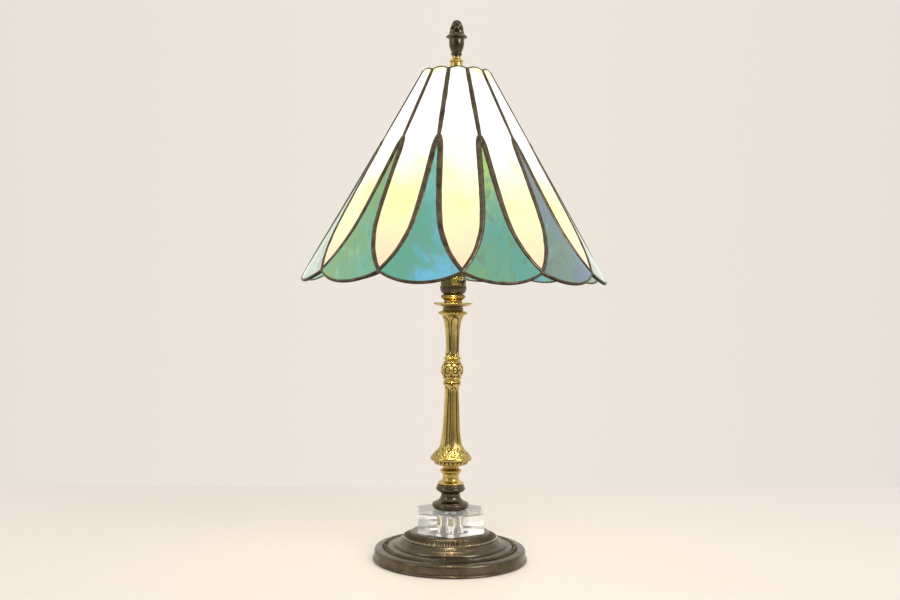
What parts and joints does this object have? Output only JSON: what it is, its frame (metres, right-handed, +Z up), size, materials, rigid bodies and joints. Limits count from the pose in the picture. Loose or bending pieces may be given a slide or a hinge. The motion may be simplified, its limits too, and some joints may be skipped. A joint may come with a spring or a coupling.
{
  "type": "leaded glass table lamp",
  "caption": "Table lamp with a leaded-glass petal cone shade, turned brass and bronze candlestick stand, clear crystal block and round stepped foot.",
  "frame": {"origin": "centre of the felt under the foot, on the table top", "axes": "+Z up along the stem; -Y is the front of the lamp; the power cord leaves the foot towards +Y"},
  "size_m": [0.3862, 0.3862, 0.687],
  "materials": {
    "aged_brass": "aged, hand-polished on the high spots",
    "olive_brass": "aged, olive toned",
    "dark_bronze": "dark brown patina, satin",
    "ballast_iron": "as cast",
    "zinc_steel": "plated",
    "brown_felt": "felt",
    "black_rubber": "matte",
    "clear_vinyl": "satin",
    "crystal": "clear, polished",
    "lampholder_paper": "fibre",
    "moulded_black": "phenolic moulding",
    "screw_shell_metal": "bright",
    "clear_bulb_glass": "frosted",
    "tungsten": "dull",
    "insulator_glass": "black vitrite",
    "opal_cream_glass": "opalescent, lit from inside",
    "green_art_glass": "streaky",
    "teal_art_glass": "streaky",
    "blue_art_glass": "streaky",
    "pale_art_glass": "streaky",
    "soldered_came": "dark brown patina over solder",
    "gold_cord": "translucent vinyl",
    "brown_plug": "moulded"
  },
  "bodies": {
    "stand": {"felt_pad": "brown_felt", "foot": "dark_bronze", "foot_weight": "ballast_iron", "base_nut": "zinc_steel", "base_washer": "zinc_steel", "cord_bushing": "black_rubber", "stem_rod": "zinc_steel", "crystal_block": "crystal", "crystal_gaskets": "clear_vinyl", "centring_bushes": "dark_bronze", "knop": "dark_bronze", "brass_spool": "aged_brass", "column_lower": "aged_brass", "column_knot": "aged_brass", "column_upper": "olive_brass", "pan_seat": "olive_brass", "drip_pan": "dark_bronze", "socket_neck": "aged_brass", "socket_cap": "dark_bronze", "lock_nut": "zinc_steel", "socket_shell": "aged_brass", "shell_liner": "lampholder_paper", "socket_body": "moulded_black", "terminal_screws": "aged_brass", "socket_screw_shell": "screw_shell_metal", "centre_contact": "aged_brass", "harp_ring": "aged_brass", "harp_frame": "aged_brass", "harp_stud": "aged_brass", "power_cord": "gold_cord", "plug_body": "brown_plug", "plug_blades": "aged_brass"},
    "switch_key": {"switch_shaft": "aged_brass", "switch_knob": "moulded_black"},
    "bulb_thread": {"bulb_contact": "screw_shell_metal", "bulb_insulator": "insulator_glass"},
    "bulb": {"bulb_base": "screw_shell_metal", "bulb_globe": "clear_bulb_glass", "bulb_stem": "clear_bulb_glass", "bulb_filament": "tungsten"},
    "shade_rest": {"cap_washer": "brown_felt"},
    "shade": {"petal_panels": "opal_cream_glass", "lower_pane_01": "teal_art_glass", "lower_pane_02": "blue_art_glass", "lower_pane_03": "pale_art_glass", "lower_pane_04": "green_art_glass", "lower_pane_05": "teal_art_glass", "lower_pane_06": "blue_art_glass", "lower_pane_07": "green_art_glass", "lower_pane_08": "teal_art_glass", "lower_pane_09": "blue_art_glass", "lower_pane_10": "pale_art_glass", "lower_pane_11": "green_art_glass", "lower_pane_12": "teal_art_glass", "leading": "soldered_came", "shade_cap": "aged_brass"},
    "finial_thread": {"finial_insert": "aged_brass"},
    "finial_acorn": {"finial_collar": "aged_brass", "finial": "dark_bronze"}
  },
  "joints": [
    {"name": "switch_turn", "type": "hinge", "parent": "stand", "child": "switch_key", "pos_m": [0, 0, 0.3562], "axis": [0.5299, -0.848, 0], "continuous": true},
    {"name": "shade_lift", "type": "slide", "parent": "stand", "child": "shade_rest", "axis": [0, 0, 1], "range_m": [0, 0.29]},
    {"name": "shade_turn", "type": "hinge", "parent": "shade_rest", "child": "shade", "pos_m": [0, 0, 0.6243], "axis": [0, 0, 1], "continuous": true},
    {"name": "finial_lift", "type": "slide", "parent": "shade", "child": "finial_thread", "axis": [0, 0, 1], "range_m": [0, 0.0113]},
    {"name": "finial_turn", "type": "hinge", "parent": "finial_thread", "child": "finial_acorn", "pos_m": [0, 0, 0.6251], "axis": [0, 0, 1], "range_deg": [0, 4326]},
    {"name": "bulb_lift", "type": "slide", "parent": "stand", "child": "bulb_thread", "axis": [0, 0, 1], "range_m": [0, 0.024]},
    {"name": "bulb_turn", "type": "hinge", "parent": "bulb_thread", "child": "bulb", "pos_m": [0, 0, 0.3658], "axis": [0, 0, 1], "range_deg": [0, 2383]}
  ],
  "couplings": [
    {"joint": "finial_turn", "follows": "finial_lift", "rad_per_m": 6679},
    {"joint": "bulb_turn", "follows": "bulb_lift", "rad_per_m": 1731.6}
  ]
}
